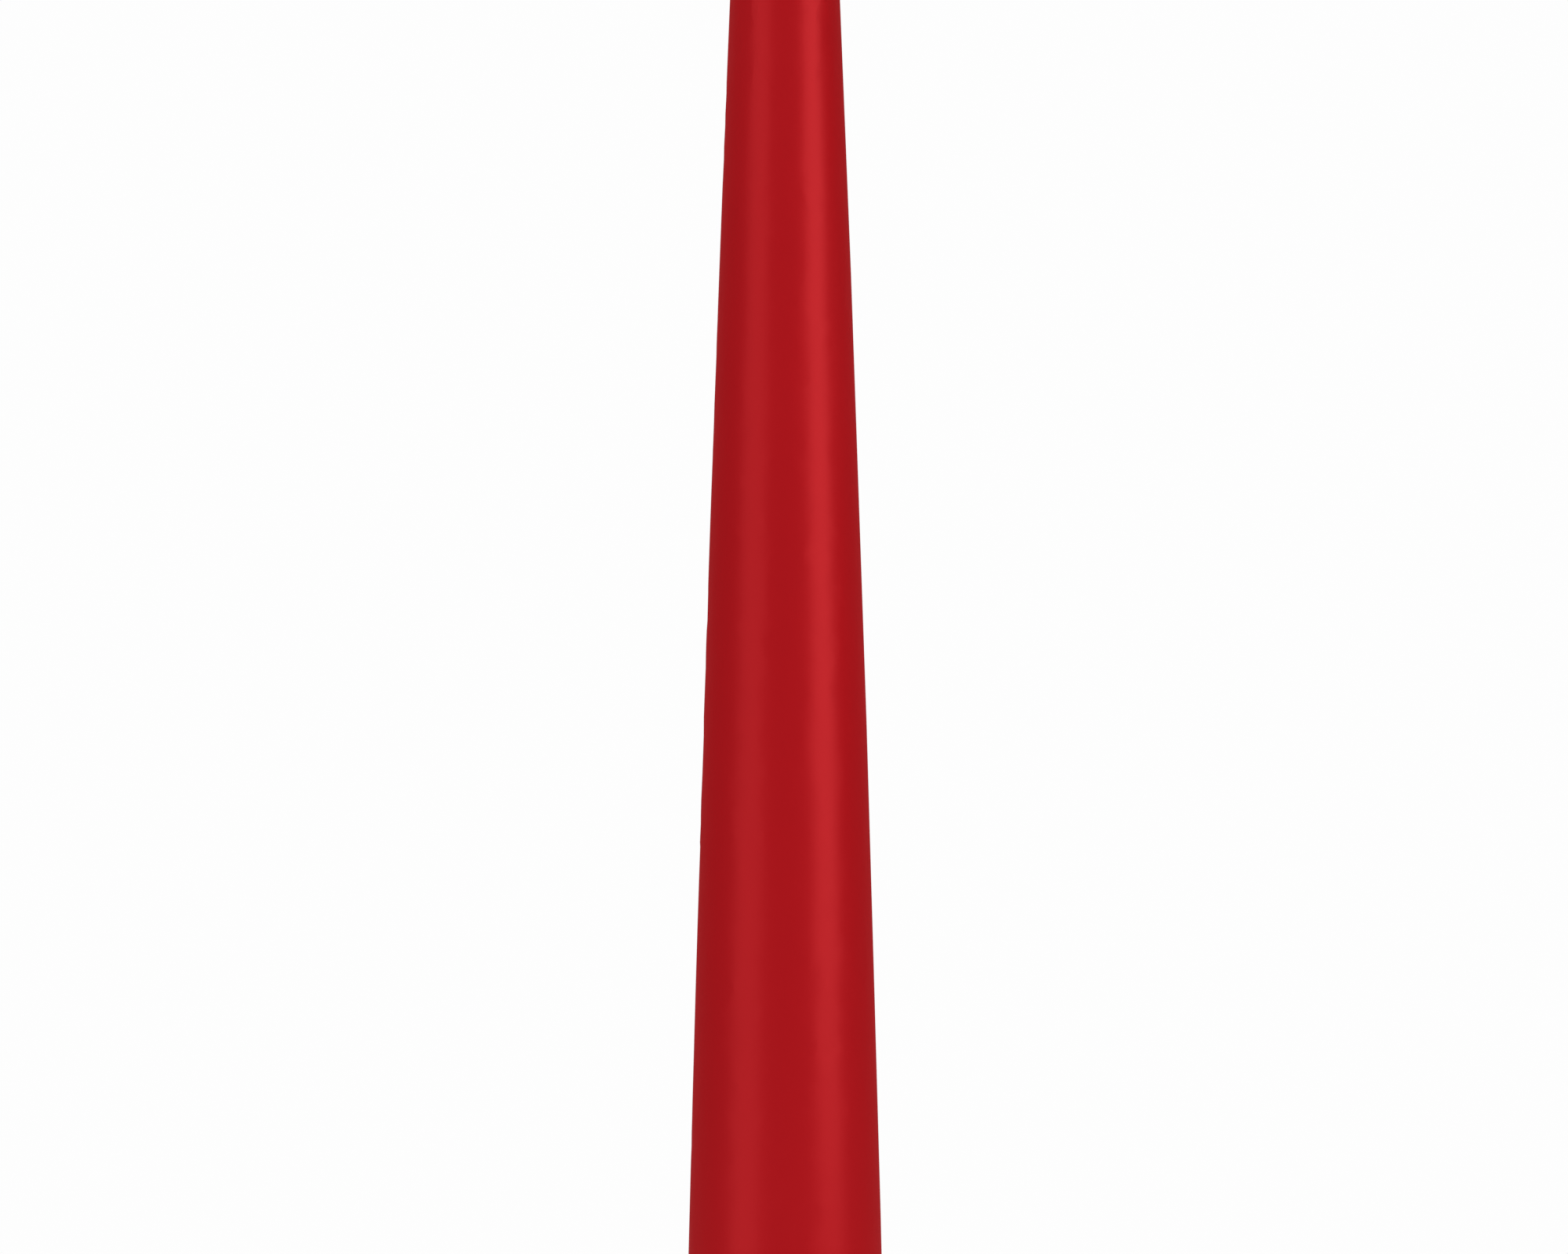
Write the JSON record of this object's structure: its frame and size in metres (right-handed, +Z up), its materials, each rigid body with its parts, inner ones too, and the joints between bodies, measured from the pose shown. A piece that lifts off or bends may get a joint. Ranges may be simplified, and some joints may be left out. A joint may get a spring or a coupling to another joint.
{
  "type": "windsock with pole",
  "caption": "Banded fabric windsock on a hooped basket that turns on bearings at the top of a tapered, convex red mast, hinged at its foot so that it tilts down.",
  "frame": {"origin": "centre of the foundation plate's underside, on the mast's axis", "axes": "+Z up along the mast; +X the way the sock points at rest; the mast tilts down towards -X"},
  "size_m": [1.9781, 0.6196, 3.729],
  "materials": {
    "mast_paint": "gloss",
    "galvanised_steel": "matte",
    "stainless_steel": "satin",
    "bearing_steel": "polished",
    "cast_aluminium": "satin",
    "seal_rubber": "matte",
    "brass": "satin",
    "tie_nylon": "matte",
    "webbing": "matte",
    "red_fabric": "matte",
    "white_fabric": "matte"
  },
  "bodies": {
    "base": {"foundation_plate": "galvanised_steel", "hinge_lug_left": "galvanised_steel", "hinge_lug_right": "galvanised_steel", "hinge_pin": "stainless_steel", "hinge_pin_washer": "stainless_steel", "split_pin": "stainless_steel"},
    "mast": {"mast": "mast_paint", "mast_flange": "mast_paint", "gussets": "mast_paint", "hinge_knuckle": "mast_paint", "lock_bolts": "stainless_steel", "lock_washers": "stainless_steel", "mast_plug": "cast_aluminium", "plug_screws": "stainless_steel", "spindle": "stainless_steel", "spindle_cross_pin": "stainless_steel", "bearing_spacer": "stainless_steel", "spindle_washer": "stainless_steel", "spindle_nut": "stainless_steel", "lower_bearing_inner_ring": "bearing_steel", "upper_bearing_inner_ring": "bearing_steel"},
    "head": {"swivel_tube": "mast_paint", "lip_seal": "seal_rubber", "top_cap": "cast_aluminium", "lower_bearing_outer_ring": "bearing_steel", "lower_bearing_balls": "bearing_steel", "lower_circlip": "stainless_steel", "upper_bearing_outer_ring": "bearing_steel", "upper_bearing_balls": "bearing_steel", "upper_circlip": "stainless_steel", "upper_hoop_bracket": "cast_aluminium", "lower_hoop_bracket": "cast_aluminium", "bracket_screws": "stainless_steel", "throat_hoop": "stainless_steel", "mid_hoop": "stainless_steel", "rear_hoop": "stainless_steel", "top_rod": "stainless_steel", "bottom_rod": "stainless_steel", "side_rods": "stainless_steel", "throat_hem": "webbing", "grommets": "brass", "sock_ties": "tie_nylon", "sock_band_1": "red_fabric", "sock_band_2": "white_fabric"},
    "sock_end_1": {"sock_band_3": "red_fabric"},
    "sock_end_2": {"sock_band_4": "white_fabric"},
    "sock_end_3": {"sock_band_5": "red_fabric", "tail_hem": "red_fabric"}
  },
  "joints": [
    {"name": "mast_tilt", "type": "hinge", "parent": "base", "child": "mast", "pos_m": [-0.152, 0, 0.024], "axis": [0, -1, 0], "range_deg": [0, 90]},
    {"name": "head_swivel", "type": "hinge", "parent": "mast", "child": "head", "pos_m": [0, 0, 3.018], "axis": [0, 0, 1], "continuous": true},
    {"name": "sock_fold_1", "type": "hinge", "parent": "head", "child": "sock_end_1", "pos_m": [1.0275, 0, 3.613], "axis": [0, -1, 0], "range_deg": [0, 34]},
    {"name": "sock_fold_2", "type": "hinge", "parent": "sock_end_1", "child": "sock_end_2", "pos_m": [1.40866, 0, 3.31972], "axis": [0, -1, 0], "range_deg": [0, 22]},
    {"name": "sock_fold_3", "type": "hinge", "parent": "sock_end_2", "child": "sock_end_3", "pos_m": [1.6522, 0, 2.905], "axis": [0, -1, 0], "range_deg": [0, 14]}
  ],
  "couplings": [
    {"joint": "sock_fold_2", "follows": "sock_fold_1", "ratio": 0.64706},
    {"joint": "sock_fold_3", "follows": "sock_fold_1", "ratio": 0.41176}
  ]
}
